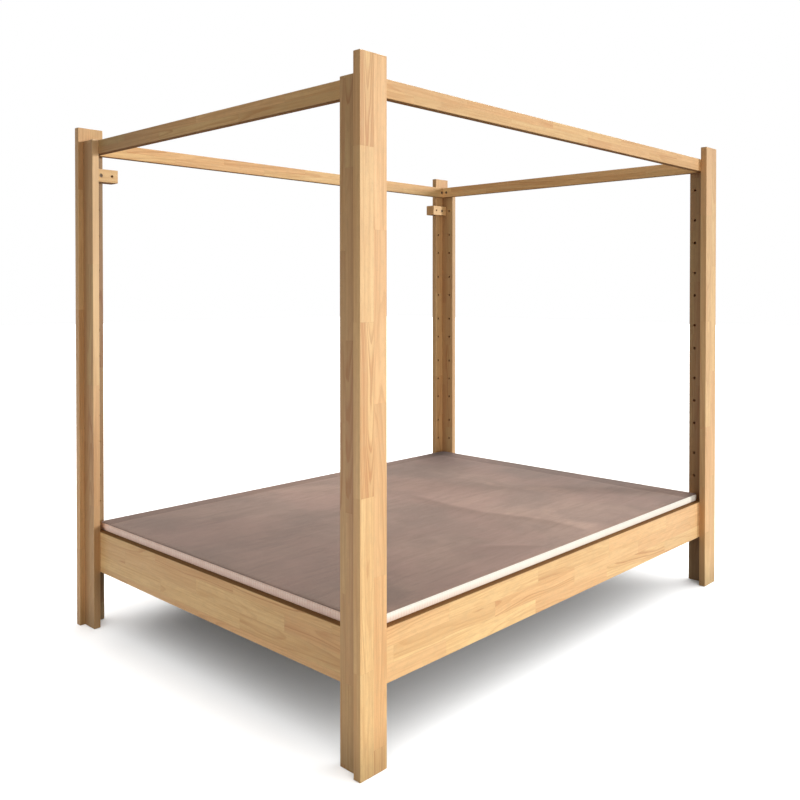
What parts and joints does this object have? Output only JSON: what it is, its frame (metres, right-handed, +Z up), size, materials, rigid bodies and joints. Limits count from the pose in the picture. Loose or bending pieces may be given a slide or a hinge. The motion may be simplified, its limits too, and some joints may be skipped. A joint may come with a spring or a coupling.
{
  "type": "canopy bed",
  "caption": "Solid wood canopy bed with T-shaped drilled corner posts, bolted rails and beams, a slatted base and a thin mattress.",
  "frame": {"origin": "on the floor under the middle of the bed", "axes": "+X along the bed towards its right end, +Y towards its back side, +Z up; the front side, -Y, is the long side that faces the viewer in the picture"},
  "size_m": [2.17, 1.566, 1.9],
  "materials": {
    "beech": "oiled, edge-glued staves",
    "hidden_beech": "planed, unfinished",
    "slat_wood": "planed, unfinished",
    "mattress_top": "matt woven cover",
    "mattress_side": "pale woven border",
    "webbing": "flat cotton webbing",
    "bolt_steel": "dark zinc plated",
    "insert_steel": "zinc plated",
    "screw_steel": "zinc plated"
  },
  "bodies": {
    "frame": {"front_left_post_outer_board": "beech", "front_left_post_inner_board": "beech", "front_right_post_outer_board": "beech", "front_right_post_inner_board": "beech", "back_left_post_outer_board": "beech", "back_left_post_inner_board": "beech", "back_right_post_outer_board": "beech", "back_right_post_inner_board": "beech", "front_left_post_tongue": "hidden_beech", "front_right_post_tongue": "hidden_beech", "back_left_post_tongue": "hidden_beech", "back_right_post_tongue": "hidden_beech", "back_left_drilled_block": "beech", "back_right_drilled_block": "beech", "front_side_rail": "beech", "back_side_rail": "beech", "left_end_rail": "beech", "right_end_rail": "beech", "front_canopy_beam": "beech", "back_canopy_beam": "beech", "left_canopy_beam": "beech", "right_canopy_beam": "beech", "front_cleat": "hidden_beech", "back_cleat": "hidden_beech", "centre_beam": "hidden_beech", "left_centre_beam_seat": "hidden_beech", "right_centre_beam_seat": "hidden_beech", "rail_bolts": "bolt_steel", "beam_bolts": "bolt_steel", "block_bolts": "bolt_steel", "threaded_inserts": "insert_steel", "cleat_screws": "screw_steel", "seat_screws": "screw_steel"},
    "slat_base": {"slat_01": "slat_wood", "slat_02": "slat_wood", "slat_03": "slat_wood", "slat_04": "slat_wood", "slat_05": "slat_wood", "slat_06": "slat_wood", "slat_07": "slat_wood", "slat_08": "slat_wood", "slat_09": "slat_wood", "slat_10": "slat_wood", "slat_11": "slat_wood", "slat_12": "slat_wood", "slat_13": "slat_wood", "slat_14": "slat_wood", "front_slat_strap": "webbing", "back_slat_strap": "webbing"},
    "mattress": {"mattress_body": "mattress_side", "mattress_top_panel": "mattress_top"}
  },
  "joints": [
    {"name": "slat_base_lift", "type": "slide", "parent": "frame", "child": "slat_base", "axis": [0, 0, 1], "range_m": [0, 0.25]},
    {"name": "mattress_lift", "type": "slide", "parent": "slat_base", "child": "mattress", "axis": [0, 0, 1], "range_m": [0, 0.35]}
  ]
}
